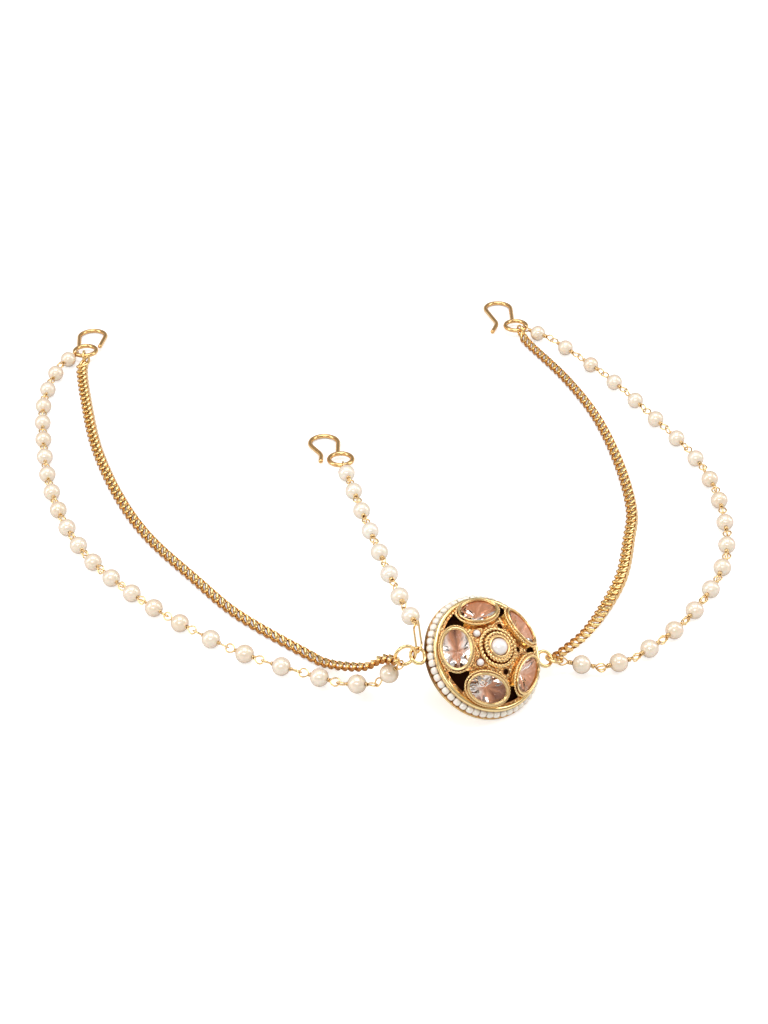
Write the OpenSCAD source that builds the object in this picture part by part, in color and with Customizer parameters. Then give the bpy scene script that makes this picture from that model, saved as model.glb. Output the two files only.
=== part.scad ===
// Matha patti: a head jewel with a round domed pendant, a pearl string and a curb chain to each
// side hook, and one pearl string to a middle hook. It lies on a table, pendant leaning on its rim.
// Lengths are in millimetres. +X is the wearer's left, +Y runs from the pendant to the hooks, +Z is up.

/* [Pearl strings] */
// Diameter of the pearls on the strings
pearl_d = 5; // [4.7:0.1:5.3]
// Diameter of the hole drilled through each pearl
pearl_hole_d = 0.7; // [0.65:0.05:0.9]
// Thickness of the wire of the pins through the pearls
pin_wire_d = 0.45; // [0.4:0.05:0.5]
// Diameter of a pin's eye, on the wire's centre line
pin_eye_d = 2.6; // [2.5:0.1:2.8]
// Outer diameter of the coil wound beside each pearl
pin_coil_d = 1.1; // [0.9:0.1:1.4]
// Length of most coils on the left string
coil_left = 0.35; // [0.3:0.05:0.4]
// Length of most coils on the middle string
coil_middle = 1; // [0.9:0.05:1.1]
// Length of most coils on the right string
coil_right = 1; // [0.9:0.05:1.1]

/* [Curb chains] */
// Outer length of a curb link
link_l = 4.4; // [4.3:0.05:4.5]
// Outer width of a curb link
link_w = 3.8; // [3.6:0.1:3.9]
// Thickness of a curb link's wire
link_wire_d = 0.75; // [0.7:0.05:0.8]
// Height of the twist of a curb link, each way
link_twist_h = 0.5; // [0.45:0.05:0.6]
// Distance from link to link
link_pitch = 2.6; // [2.55:0.05:2.65]
// Diameter of the ring between chain and hook, on the wire's centre line
chain_ring_d = 3.8; // [3.6:0.1:4]
// Thickness of that ring's wire
chain_ring_wire_d = 0.7; // [0.6:0.05:0.75]

/* [Hooks] */
// Thickness of the hooks' wire
hook_wire_d = 1.4; // [1.2:0.1:1.4]
// Diameter of the eye that holds the strands, on the wire's centre line
hook_eye_d = 7; // [6.8:0.1:7.2]
// Diameter of the open bow, on the wire's centre line
hook_bow_d = 8.6; // [8.2:0.1:9]
// Distance from the middle of the middle hook's eye to the middle of its bow
hook_l = 9.8; // [9.6:0.1:10.4]
// Radius of the bend near the free end
hook_flick_r = 5; // [3:0.5:7]

/* [Pendant] */
// Outer diameter of the back plate
flange_d = 32.8; // [31:0.2:35]
// Thickness of the back plate
flange_t = 0.6; // [0.5:0.1:1]
// Diameter of the seed pearls round the side wall
seed_d = 1.9; // [1.7:0.1:2]
// Thickness of the side wall
wall_t = 0.9; // [0.7:0.1:1.2]
// Width of the rim
rim_w = 1.5; // [1.2:0.1:2]
// Radius of the dome's outer surface
dome_r = 20; // [19:0.5:22]
// Thickness of the dome
dome_t = 0.9; // [0.7:0.1:1.2]
// How far the pendant leans over, in degrees
lean = 37.5; // [30:0.5:42]

/* [Settings] */
// Length of an oval stone
stone_l = 10.3; // [9:0.1:10.5]
// Width of an oval stone
stone_w = 7; // [6:0.1:7.2]
// Depth of a stone below its girdle
stone_depth = 2.7; // [2:0.1:3]
// Height of a stone above its girdle
stone_crown_h = 0.95; // [0.7:0.05:1.2]
// Thickness of the bezel round a stone
bezel_t = 0.65; // [0.5:0.05:0.9]
// Height of the bezel above the dome
bezel_h = 1.25; // [1:0.05:1.5]
// How far the stones lean out from the pendant's axis, in degrees
stone_lean = 31; // [29:0.5:33]
// Diameter of the centre pearl
centre_pearl_d = 4.5; // [4:0.1:4.8]
// Thickness of the collar round the centre pearl
collar_t = 0.75; // [0.6:0.05:1]
// Diameter of the wire ring round the collar, on the wire's centre line
wire_ring_d = 9.8; // [9.4:0.1:10.4]
// Thickness of the wire ring
wire_ring_t = 0.9; // [0.7:0.1:1]
// Diameter of the two small pearls beside the collar
gap_pearl_d = 1.9; // [1.6:0.1:2]

/* [Rings at the pendant] */
// Diameter of the pendant's side eyes, on the wire's centre line
side_eye_d = 4.1; // [3.9:0.1:4.5]
// Thickness of the side eyes
side_eye_t = 0.9; // [0.7:0.1:0.9]
// Diameter of the left jump ring, on the wire's centre line
jump_left_d = 5.4; // [5:0.1:6]
// Diameter of the right jump ring, on the wire's centre line
jump_right_d = 4.2; // [4.1:0.1:4.6]
// Thickness of the jump rings' wire
jump_wire_d = 0.9; // [0.7:0.1:0.9]
// Width of the long middle loop, on the wire's centre line
loop_w = 2.6; // [2.4:0.1:3]
// Thickness of the middle loop's wire
loop_wire_d = 0.6; // [0.5:0.1:0.7]

/* [Hidden] */

GOLD = [0.86, 0.66, 0.33];
DARK_GOLD = [0.72, 0.52, 0.26];
PALE_GOLD = [0.93, 0.82, 0.58];
PEARL = [0.95, 0.89, 0.80];
PEACH = [0.80, 0.58, 0.46];

$fn = 48;

// Clearance between pieces that touch or hold each other
gap = 0.1;
// Moves the whole layout so that the middle of its footprint is the origin
layout_shift = [4.35, -13.6, 0];

// Vector helpers
function unit(v) = v / norm(v);
function flat(v) = [v[0], v[1], 0];
function heading(a) = [cos(a), sin(a), 0];
// The part of v across the direction d, as a unit vector
function across(v, d) = unit(v - (v * d) * d);
// Turns v, which lies across d, by an angle about d
function turned(v, d, a) = v * cos(a) + cross(d, v) * sin(a);
// The turn about a direction that brings a piece's upper side in line with a wire, of the turns
// half a circle apart the one nearest to a given turn
function turn_to(dir, wire, near = 0) =
  let (up = across([0, 0, 1], dir), a = atan2(cross(up, wire) * dir, up * wire))
    a - 180 * round((a - near) / 180);
// Puts children, modelled along x with their upper side to z, at a point, direction and normal
module posed(at, dir, up) {
  side = cross(up, dir);
  multmatrix([
    [dir[0], side[0], up[0], at[0]],
    [dir[1], side[1], up[1], at[1]],
    [dir[2], side[2], up[2], at[2]],
    [0, 0, 0, 1]
  ]) children();
}

// Where the pendant rests, and how it leans: the middle of its back, and its axis
lean_heading = -47;
flange_r = flange_d / 2;
pendant_back = [25.05, -73.75, flange_r * sin(lean)];
pendant_axis = [sin(lean) * cos(lean_heading), sin(lean) * sin(lean_heading), cos(lean)];
// Places children modelled upright, back at z = 0, as the pendant leans
module leaned() {
  translate(pendant_back)
    rotate([0, 0, lean_heading]) rotate([0, lean, 0]) rotate([0, 0, -lean_heading])
      children();
}
// A direction of the upright pendant, given by its azimuth, once it leans
function leaned_dir(a) =
  let (f = heading(lean_heading), e = heading(a), along = e * f)
    e - f * along * (1 - cos(lean)) - [0, 0, along * sin(lean)];

// Pendant heights and radii, upright, from the back face
seed_r = seed_d / 2;
seed_ring_r = flange_r - seed_r - 0.05;
wall_r = seed_ring_r - seed_r - gap;
rim_z = flange_t + seed_d + 2 * gap;
rim_r = wall_r + 0.8;
dome_base_r = wall_r - 0.1;
dome_z = rim_z + 0.5 - sqrt(pow(dome_r, 2) - pow(dome_base_r, 2));
dome_top = dome_z + dome_r;
stone_count = 5;
stone_start = 193;
side_eye_r = side_eye_d / 2;
side_eye_at = flange_r + side_eye_r;
side_eye_z = side_eye_t / 2 + 0.06;
rim_edge_h = 0.6;
rim_bead_r = 0.35;

// Stones: half sizes, and heights above the dome in a stone's own frame
stone_a = stone_l / 2;
stone_b = stone_w / 2;
girdle_z = 0.5;
girdle_t = 0.2;
table_share = 0.56;
lip_h = 0.25;
lip_w = 0.2;
ledge_w = 0.5;
bezel_foot = 1.25;

// Centre pearl, its collar, and the two small pearls
centre_pearl_r = centre_pearl_d / 2;
centre_pearl_z = dome_top + 0.45;
cup_floor = 0.5;
collar_rise = 0.35;
gap_hole_lean = 18.5;
gap_pearl_rise = 0.35;
gap_hole_share = 0.8;

// Pins: half the distance between a pin's two eyes, for a coil length
pin_r = pin_wire_d / 2;
pin_eye_r = pin_eye_d / 2;
pearl_r = pearl_d / 2;
function pin_half(coil) = pearl_r + gap + coil + pin_eye_r;
// The distance between the middles of two joined eyes: least and most
play_least = 0.63;
play_most = 1.9;

// Hooks: middle of the eye, side the bow turns to (1 right, -1 left), where the stem stands on the
// eye, how far the bow turns, length of the straight tail, bend of the flick, length of the flick,
// how much longer it is than the middle hook, and how it is turned on the table
HOOK_X = 0;
HOOK_Y = 1;
HOOK_SIDE = 2;
HOOK_STEM = 3;
HOOK_TURN = 4;
HOOK_TAIL = 5;
HOOK_FLICK = 6;
HOOK_END = 7;
HOOK_LONGER = 8;
HOOK_YAW = 9;
hook_table = [
  [-98.3, 83.5, 1, -2.15, 194, 6.3, 0, 0.4, 0.3, 7],
  [-13.1, 23.2, -1, 1, 212, 4.2, 34, 2.2, 0, 0],
  [44.3, 99, -1, 1, 198, 8.7, 36, 4.4, 2.7, 0]
];
hook_r = hook_wire_d / 2;
hook_bow_r = hook_bow_d / 2;
hook_eye_z = 2.1;
hook_eye_r = hook_eye_d / 2;
function hook_length(row) = hook_l + row[HOOK_LONGER];
function hook_tilt(row) = asin((hook_eye_z - hook_r) / (hook_length(row) + hook_bow_r));
function hook_eye(row) = [row[HOOK_X], row[HOOK_Y], hook_eye_z];
// The middle of the eye's wire, seen from the eye's middle at a heading, and the wire's direction
function hook_out(row, a) =
  let (yaw = row[HOOK_YAW], b = a - yaw, tilt = hook_tilt(row))
    cos(b) * heading(yaw) + sin(b) * cos(tilt) * heading(yaw + 90) - [0, 0, sin(b) * sin(tilt)];
function hook_grip(row, a) = hook_eye(row) + hook_eye_r * hook_out(row, a);
function hook_wire(row, a) = hook_out(row, a + 90);

// Jump rings: middle, direction away from the pendant, and normal
jump_r = jump_wire_d / 2;
ring_play = 0.25;
function side_eye_mid(a) =
  pendant_back + leaned_dir(a) * side_eye_at + pendant_axis * side_eye_z;
function jump_mid(a, ring_r) =
  side_eye_mid(a) + leaned_dir(a) * (side_eye_r + ring_r - side_eye_t / 2 - jump_r - ring_play);
function jump_normal(a, turn) = turned(pendant_axis, leaned_dir(a), turn);
// A point on a jump ring's wire, at an angle from its far end, and the wire's direction there
function jump_grip(a, ring_r, turn, at) =
  jump_mid(a, ring_r) + ring_r * turned(leaned_dir(a), jump_normal(a, turn), at);
function jump_wire(a, turn, at) = turned(leaned_dir(a), jump_normal(a, turn), at + 90);
left_eye = stone_start;
right_eye = stone_start - 180;
jump_left_turn = -48;
jump_right_turn = -50;
jump_left_r = jump_left_d / 2;
jump_right_r = jump_right_d / 2;

// Where each strand holds on: headings on the hook's eye, and angles on the jump ring
pearls_left_on_hook = 215;
pearls_middle_on_hook = 284;
pearls_right_on_hook = 328;
chain_left_on_hook = 272;
chain_right_on_hook = 288;
pearls_left_on_ring = 80;
chain_left_on_ring = 28;
pearls_right_on_ring = -44;
chain_right_on_ring = 42;
grip_pearls_left = hook_grip(hook_table[0], pearls_left_on_hook);
grip_pearls_middle = hook_grip(hook_table[1], pearls_middle_on_hook);
grip_pearls_right = hook_grip(hook_table[2], pearls_right_on_hook);
grip_chain_left = hook_grip(hook_table[0], chain_left_on_hook);
grip_chain_right = hook_grip(hook_table[2], chain_right_on_hook);
ring_pearls_left = jump_grip(left_eye, jump_left_r, jump_left_turn, pearls_left_on_ring);
ring_chain_left = jump_grip(left_eye, jump_left_r, jump_left_turn, chain_left_on_ring);
ring_pearls_right = jump_grip(right_eye, jump_right_r, jump_right_turn, pearls_right_on_ring);
ring_chain_right = jump_grip(right_eye, jump_right_r, jump_right_turn, chain_right_on_ring);

// Routes, before the layout is shifted: chosen points that a strand passes through, on the table
// and up to the pendant. Chain points hold a fourth number, the turn of the chain about itself.
floor_pearl = pearl_r + 0.05;
floor_link = link_wire_d / 2 + link_twist_h + 0.08;
way_pearls_left = [
  [-104.9, 74.1, 2.85], [-107.5, 54, floor_pearl], [-103.5, 27.5, floor_pearl],
  [-99, 9, floor_pearl], [-92.5, -8, floor_pearl], [-83.5, -24, floor_pearl],
  [-70, -39, floor_pearl], [-55, -52, floor_pearl], [-36.5, -64.5, floor_pearl],
  [-17, -73.5, 3], [-6, -78.8, 4.5], [1.4, -80.3, 9.8]
];
way_pearls_middle = [[-4.6, -12.3, 4.6], [1.2, -34.5, 5.9], [6.7, -58.5, 10.6]];
way_pearls_right = [
  [51.5, 93.5, 3.2], [60, 84.5, floor_pearl], [73, 66, floor_pearl], [84.5, 44, floor_pearl],
  [94.5, 23, floor_pearl], [98.5, 2, floor_pearl], [96.5, -24, floor_pearl],
  [84.5, -46.8, floor_pearl], [70.3, -62.3, floor_pearl], [58.5, -69.3, floor_pearl]
];
way_chain_left = [
  [-98, 73, floor_link, 0], [-94.8, 57.5, floor_link, 0], [-88.3, 32, floor_link, 0],
  [-79, 8, floor_link, 0], [-68, -12, floor_link, 0], [-52.5, -31.5, floor_link, 0],
  [-39.5, -46.5, floor_link, 0], [-20.5, -62, floor_link, 0], [-13.8, -67.8, 2.5, -3],
  [-5.2, -74.7, 8, 0], [-0.4, -78.1, 13.6, 3]
];
way_chain_right = [
  [49, 88.5, floor_link, 0], [59, 69, floor_link, 0], [66.8, 47.5, floor_link, 0],
  [71.3, 23.5, floor_link, 0], [72.7, 1, floor_link, 0], [70.3, -14, floor_link, 0],
  [66.3, -31, 1.3, 0], [59.3, -47, 1.8, -30], [53.2, -57.3, 2.4, -70]
];

// Smooth curves through route points
steps_per_span = 6;
function spline_at(p, i, t) =
  let (
    n = len(p) - 1,
    a = p[max(i - 1, 0)],
    b = p[i],
    c = p[i + 1],
    d = p[min(i + 2, n)]
  ) 0.5 * (2 * b + (c - a) * t + (2 * a - 5 * b + 4 * c - d) * pow(t, 2)
    + (3 * b - a - 3 * c + d) * pow(t, 3));
function spline(p) = [
  for (i = [0:len(p) - 2]) for (k = [0:steps_per_span - 1]) spline_at(p, i, k / steps_per_span),
  p[len(p) - 1]
];
function place(q) = [q[0], q[1], q[2]];
// The distance along a fine curve up to each of its points
function lengths(q) = [
  for (i = 0, s = 0; i < len(q); s = s + (i < len(q) - 1 ? norm(place(q[i + 1]) - place(q[i])) : 0),
    i = i + 1) s
];
// One table a coordinate, distance first, as lookup() takes it
function track(p) =
  let (q = spline(p), s = lengths(q))
    [for (k = [0:len(p[0]) - 1]) [for (i = [0:len(q) - 1]) [s[i], q[i][k]]]];
function track_length(t) = t[0][len(t[0]) - 1][0];
function on_track(t, s) = [lookup(s, t[0]), lookup(s, t[1]), lookup(s, t[2])];
function track_turn(t, s) = lookup(s, t[3]);

// Pearl strings. A row holds the length of most coils, the play that sets the number of pearls,
// the wanted difference between loose and tight joints, and two tables of pairs along the string,
// from 0 to 1: the looseness of the joints, and how much longer a coil is than most.
COIL = 0;
PLAY = 1;
SPREAD = 2;
LOOSE = 3;
MORE = 4;
string_left = [
  coil_left, 1.2, 1.2,
  [[0, 0], [0.68, 0], [0.76, 1], [1, 1]],
  [[0, 0], [0.68, 0], [0.76, 0.45], [1, 0.45]]
];
string_middle = [
  coil_middle, 1.15, 1.3,
  [[0, 0], [0.6, 0], [0.8, 1], [1, 1]],
  [[0, -0.5], [0.14, 0], [0.6, 0], [0.86, 0.4]]
];
string_right = [
  coil_right, 1.15, 1.05,
  [[0, 1], [0.33, 1], [0.45, 0], [1, 0]],
  [[0, 0.45], [0.12, 0.45], [0.2, 0]]
];
// A string's track runs from its first eye to its last
first_eye_in = 0.03;
last_eye_in = 0.45;
function string_track(from, way, to) =
  track(concat(
    [from + unit(way[0] - from) * first_eye_in],
    way,
    [to + unit(way[len(way) - 1] - to) * last_eye_in]
  ));
function string_count(t, row) =
  round((track_length(t) + row[PLAY]) / (2 * pin_half(row[COIL]) + row[PLAY]));
// Coil lengths go in steps of this
coil_step = 0.05;
function pin_coil(row, n, i) =
  row[COIL] + coil_step * round(lookup(i / (n - 1), row[MORE]) / coil_step);
function pin_reach(row, n, i) = 2 * pin_half(pin_coil(row, n, i));
// The reach of all pins before pin i, and the looseness of all joints before it
function reach_sum(row, n, i) = i == 0 ? 0 : reach_sum(row, n, i - 1) + pin_reach(row, n, i - 1);
function loose_sum(row, n, i) =
  i == 0 ? 0 : loose_sum(row, n, i - 1) + lookup((i - 1) / (n - 2), row[LOOSE]);
// The two ends of pin i: the middles of its eyes, as far apart as the pin is long
function pin_ends(t, row, n, i) =
  let (
    reach = pin_reach(row, n, i),
    play = (track_length(t) - reach_sum(row, n, n)) / (n - 1),
    loose = loose_sum(row, n, n - 1) / (n - 1),
    room = min((play - play_least) / max(loose, 0.01), (play_most - play) / (1 - loose)),
    spread = max(min(row[SPREAD], room), 0),
    s = reach_sum(row, n, i) + i * (play - spread * loose) + spread * loose_sum(row, n, i),
    a = on_track(t, s),
    b = on_track(t, s + reach),
    mid = (a + b) / 2,
    dir = unit(b - a)
  ) [mid - dir * reach / 2, mid + dir * reach / 2];
// Each pin's eyes stand across those of its neighbours; the rest of the turn is shared out
function pin_roll(roll, n, i) =
  let (rest = roll[1] - roll[0] - 90 * (n - 1), near = rest - 180 * round(rest / 180))
    roll[0] + i * (90 + near / (n - 1));
track_left = string_track(grip_pearls_left, way_pearls_left, ring_pearls_left);
track_right = string_track(grip_pearls_right, way_pearls_right, ring_pearls_right);
// The middle string ends at the long loop, this far before the pendant's side eye
middle_loop_l = 14;
loop_r = loop_wire_d / 2;
loop_turn = 108;
loop_out = turned(leaned_dir(left_eye), pendant_axis, -loop_turn);
loop_grip = side_eye_mid(left_eye) + side_eye_r * loop_out;
loop_aim = [8, -58.5, 11.8];
loop_dir = unit(loop_grip - loop_aim);
loop_from = loop_grip - loop_dir * middle_loop_l;
loop_up = across(cross(pendant_axis, loop_out), loop_dir);
loop_end_wire = cross(loop_up, loop_dir);
track_middle = string_track(grip_pearls_middle, way_pearls_middle, loop_from);
// The turns of a string's first and last pin, which bring their eyes across the wires they hold
function end_rolls(t, row, from_wire, to_wire) =
  let (n = string_count(t, row), a = pin_ends(t, row, n, 0), b = pin_ends(t, row, n, n - 1))
    [turn_to(unit(a[1] - a[0]), from_wire), turn_to(unit(b[1] - b[0]), to_wire)];
roll_left = end_rolls(track_left, string_left,
  hook_wire(hook_table[0], pearls_left_on_hook),
  jump_wire(left_eye, jump_left_turn, pearls_left_on_ring));
roll_middle = end_rolls(track_middle, string_middle,
  hook_wire(hook_table[1], pearls_middle_on_hook), loop_end_wire);
roll_right = end_rolls(track_right, string_right,
  hook_wire(hook_table[2], pearls_right_on_hook),
  jump_wire(right_eye, jump_right_turn, pearls_right_on_ring));

// Curb chains: the first link holds the chain ring, the last the jump ring
ring_r = chain_ring_d / 2;
ring_wire_r = chain_ring_wire_d / 2;
ring_dip = 20;
ring_in = 0.55;
ring_z = ring_r + ring_wire_r + gap;
function chain_ring_dir(grip, way) = unit(flat(way[0] - grip));
function chain_ring_mid(grip, way) =
  let (mid = grip + chain_ring_dir(grip, way) * ring_in) [mid[0], mid[1], ring_z];
link_in = 0.5;
function chain_track(grip, way, to, wire) =
  let (
    mid = chain_ring_mid(grip, way),
    dir = chain_ring_dir(grip, way),
    hold = mid + dir * ring_r * cos(ring_dip) - [0, 0, ring_r * sin(ring_dip)],
    from = hold + dir * link_in - [0, 0, 0.1],
    last = place(way[len(way) - 1]),
    out = unit(last - to),
    end = to + out * link_in,
    end_turn = turn_to(-out, wire, way[len(way) - 1][3])
  ) track(concat([[from[0], from[1], from[2], 0]], way, [[end[0], end[1], end[2], end_turn]]));
chain_track_left = chain_track(grip_chain_left, way_chain_left, ring_chain_left,
  jump_wire(left_eye, jump_left_turn, chain_left_on_ring));
chain_track_right = chain_track(grip_chain_right, way_chain_right, ring_chain_right,
  jump_wire(right_eye, jump_right_turn, chain_right_on_ring));

// A curb link: its wire's middle line is an oval with a twist, drawn as rings of corners
link_steps = 10;
link_sides = 5;
function link_line(a) =
  [
    (link_l - link_wire_d) / 2 * cos(a),
    (link_w - link_wire_d) / 2 * sin(a),
    link_twist_h * sin(2 * a)
  ];
function link_tangent(a) =
  unit([
    -(link_l - link_wire_d) / 2 * sin(a),
    (link_w - link_wire_d) / 2 * cos(a),
    2 * link_twist_h * cos(2 * a)
  ]);
function link_corner(j, k) =
  let (
    a = 360 * (j + 0.5) / link_steps,
    out = across([cos(a), sin(a), 0], link_tangent(a))
  ) link_line(a) + link_wire_d / 2 * turned(out, link_tangent(a), 360 * k / link_sides);
link_points = [for (j = [0:link_steps - 1]) for (k = [0:link_sides - 1]) link_corner(j, k)];
link_face_list = [
  for (j = [0:link_steps - 1]) for (k = [0:link_sides - 1])
    let (
      a = j * link_sides + k,
      b = j * link_sides + (k + 1) % link_sides,
      c = ((j + 1) % link_steps) * link_sides + (k + 1) % link_sides,
      d = ((j + 1) % link_steps) * link_sides + k
    ) each [[a, b, c], [a, c, d]]
];
function link_count(t) = round(track_length(t) / link_pitch) + 1;
// The points of link i, turned to the track: along it, with its flat side up, then turned
function link_placed(t, n, i) =
  let (
    s = track_length(t) * i / (n - 1),
    ahead = on_track(t, min(s + 1, track_length(t))),
    behind = on_track(t, max(s - 1, 0)),
    dir = unit(ahead - behind),
    up = turned(across([0, 0, 1], dir), dir, track_turn(t, s)),
    side = cross(up, dir),
    at = on_track(t, s)
  ) [for (p = link_points) at + p[0] * dir + p[1] * side + p[2] * up];

module curb_chain(t) {
  n = link_count(t);
  points_per_link = link_steps * link_sides;
  polyhedron(
    points = [for (i = [0:n - 1]) each link_placed(t, n, i)],
    faces = [for (i = [0:n - 1]) for (f = link_face_list) f + [1, 1, 1] * i * points_per_link],
    convexity = 10
  );
}

// A ring of round wire in the plane of x and y
module wire_ring(r, wire_r) {
  rotate_extrude() translate([r, 0]) circle(wire_r);
}

module pearl_string(t, row) {
  n = string_count(t, row);
  for (i = [0:n - 1]) {
    ends = pin_ends(t, row, n, i);
    dir = unit(ends[1] - ends[0]);
    posed((ends[0] + ends[1]) / 2, dir, across([0, 0, 1], dir))
      rotate([0, 90, 0])
        difference() {
          sphere(pearl_r);
          cylinder(h = pearl_d + 1, d = pearl_hole_d, center = true);
        }
  }
}

// One pin along x: the wire, a coil and an eye at each end
module pin(coil) {
  half = pin_half(coil);
  rotate([0, 90, 0]) cylinder(h = 2 * (pearl_r + gap + coil), r = pin_r, center = true);
  for (end = [-1, 1]) {
    translate([end * (pearl_r + gap + coil / 2), 0, 0])
      rotate([0, 90, 0]) cylinder(h = coil, d = pin_coil_d, center = true);
    translate([end * half, 0, 0]) wire_ring(pin_eye_r, pin_r);
  }
}

module pins(t, row, roll) {
  n = string_count(t, row);
  for (i = [0:n - 1]) {
    ends = pin_ends(t, row, n, i);
    dir = unit(ends[1] - ends[0]);
    posed((ends[0] + ends[1]) / 2, dir, across([0, 0, 1], dir))
      rotate([pin_roll(roll, n, i), 0, 0]) pin(pin_coil(row, n, i));
  }
}

module chain_ring(grip, way) {
  dir = chain_ring_dir(grip, way);
  posed(chain_ring_mid(grip, way), dir, cross(dir, [0, 0, 1])) wire_ring(ring_r, ring_wire_r);
}

module jump_ring(a, r, turn) {
  posed(jump_mid(a, r), leaned_dir(a), jump_normal(a, turn)) wire_ring(r, jump_r);
}

// A long oval ring along x, from the middle string's last eye to the pendant's side eye
module middle_loop() {
  to = loop_grip + loop_dir * (side_eye_t / 2 + loop_r + 2 * gap);
  straight = norm(to - loop_from) - loop_w;
  posed((loop_from + to) / 2, loop_dir, loop_up) {
    for (side = [-1, 1])
      translate([-straight / 2, side * loop_w / 2, 0])
        rotate([0, 90, 0]) cylinder(h = straight, r = loop_r);
    for (end = [0, 180])
      rotate([0, 0, end]) translate([straight / 2, 0, 0])
        rotate([0, 0, -90]) rotate_extrude(angle = 180) translate([loop_w / 2, 0]) circle(loop_r);
  }
}

// Wire bent piece by piece, starting along y: [length] is straight, [radius, angle] bends it,
// to the right for a positive angle. It ends in a round tip. Straight pieces are a hair thinner
// and reach into the bends.
straight_share = 0.99;
straight_lap = 0.05;
module bent_wire(pieces, r) {
  if (len(pieces) == 0) {
    sphere(r);
  } else {
    piece = pieces[0];
    rest = [for (i = [1:1:len(pieces) - 1]) pieces[i]];
    if (len(piece) == 1) {
      translate([0, -straight_lap, 0])
        rotate([-90, 0, 0]) cylinder(h = piece[0] + 2 * straight_lap, r = r * straight_share);
      translate([0, piece[0], 0]) bent_wire(rest, r);
    } else {
      way = piece[1] < 0 ? -1 : 1;
      bend = abs(piece[1]);
      translate([way * piece[0], 0, 0]) {
        if (bend > 0)
          rotate([0, 0, way > 0 ? 180 - bend : 0])
            rotate_extrude(angle = bend) translate([piece[0], 0]) circle(r);
        rotate([0, 0, -way * bend]) translate([-way * piece[0], 0, 0]) bent_wire(rest, r);
      }
    }
  }
}

module hook(row) {
  stem_x = row[HOOK_STEM];
  stem_y = sqrt(max(pow(hook_eye_r, 2) - pow(stem_x, 2), 0));
  translate(hook_eye(row)) rotate([-hook_tilt(row), 0, row[HOOK_YAW]]) {
    wire_ring(hook_eye_r, hook_r);
    mirror([row[HOOK_SIDE] < 0 ? 1 : 0, 0, 0])
      translate([stem_x, stem_y, 0])
        bent_wire(
          [
            [hook_length(row) - stem_y], [hook_bow_r, row[HOOK_TURN]], [row[HOOK_TAIL]],
            [hook_flick_r, -row[HOOK_FLICK]], [row[HOOK_END]]
          ],
          hook_r
        );
  }
}

// An oval outline with half axes a and b
oval_points = 40;
module oval(a, b) {
  polygon([for (i = [0:oval_points - 1]) [
    a * cos(360 * i / oval_points), b * sin(360 * i / oval_points)
  ]]);
}

// Puts children at stone i, on the dome: x along the rim, y up the dome, z out of it
module at_stone(i) {
  rotate([0, 0, stone_start + 360 / stone_count * i])
    translate([0, 0, dome_z]) rotate([0, stone_lean, 0]) translate([0, 0, dome_r])
      rotate([0, 0, 90]) children();
}

// The metal round a stone, before its pocket is cut
module bezel() {
  translate([0, 0, -bezel_foot])
    linear_extrude(bezel_foot + bezel_h)
      oval(stone_a + gap + bezel_t, stone_b + gap + bezel_t);
}

// The room a stone takes in its bezel: light hole, pocket, and the opening inside the lip
module stone_room() {
  hole_a = stone_a + gap - ledge_w;
  hole_b = stone_b + gap - ledge_w;
  translate([0, 0, -3]) linear_extrude(3.1) oval(hole_a, hole_b);
  linear_extrude(bezel_h - lip_h) oval(stone_a + gap, stone_b + gap);
  linear_extrude(bezel_h + 1) oval(stone_a + gap - lip_w, stone_b + gap - lip_w);
}

// An oval cut stone: eight-sided table, stars, kites, girdle and a pointed back
cut = 8;
function stone_ring(n, turn, share, z) = [
  for (i = [0:n - 1]) let (a = 360 * (i + turn) / n)
    [stone_a * share * cos(a), stone_b * share * sin(a), z]
];
module stone() {
  crown_z = girdle_z + girdle_t;
  points = concat(
    stone_ring(cut, 0, table_share, crown_z + stone_crown_h),
    stone_ring(cut, 0.5, 0.82, crown_z + stone_crown_h * 0.52),
    stone_ring(2 * cut, 0, 1, crown_z),
    stone_ring(2 * cut, 0, 1, girdle_z),
    stone_ring(cut, 0.5, 0.5, girdle_z - stone_depth * 0.62),
    [[0, 0, girdle_z - stone_depth]]
  );
  table = 0;
  crown = cut;
  top = 2 * cut;
  bottom = 4 * cut;
  back = 6 * cut;
  tip = 7 * cut;
  around = [0:cut - 1];
  faces = concat(
    [[for (i = [cut - 1:-1:0]) table + i]],
    [for (i = around) [table + i, table + (i + 1) % cut, crown + i]],
    [for (i = around) [table + i, crown + i, top + 2 * i]],
    [for (i = around) [table + i, top + 2 * i, crown + (i + cut - 1) % cut]],
    [for (i = around) [crown + i, top + 2 * i + 1, top + 2 * i]],
    [for (i = around) [crown + i, top + (2 * i + 2) % (2 * cut), top + 2 * i + 1]],
    [for (i = [0:2 * cut - 1]) let (j = (i + 1) % (2 * cut)) [top + i, top + j, bottom + j, bottom + i]],
    [for (i = around) [back + i, bottom + 2 * i, bottom + 2 * i + 1]],
    [for (i = around) [back + i, bottom + 2 * i + 1, bottom + (2 * i + 2) % (2 * cut)]],
    [for (i = around) [tip, bottom + 2 * i, back + i]],
    [for (i = around) [tip, back + (i + cut - 1) % cut, bottom + 2 * i]]
  );
  polyhedron(points, faces);
}

// The dome: a spherical shell down to the side wall
module dome_shell() {
  intersection() {
    translate([0, 0, dome_z])
      difference() {
        sphere(dome_r, $fn = 96);
        sphere(dome_r - dome_t, $fn = 96);
      }
    translate([0, 0, rim_z - 0.4]) cylinder(h = dome_r, r = dome_base_r);
  }
}

// The large gap between two bezels and the rim, seen from above
window_half = 14;
module window() {
  outer = dome_base_r - 0.75;
  inner = outer - 4.2;
  linear_extrude(dome_r)
    polygon(concat(
      [[inner, 0]],
      [for (a = [-window_half:window_half / 4:window_half]) outer * [cos(a), sin(a)]]
    ));
}

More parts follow.
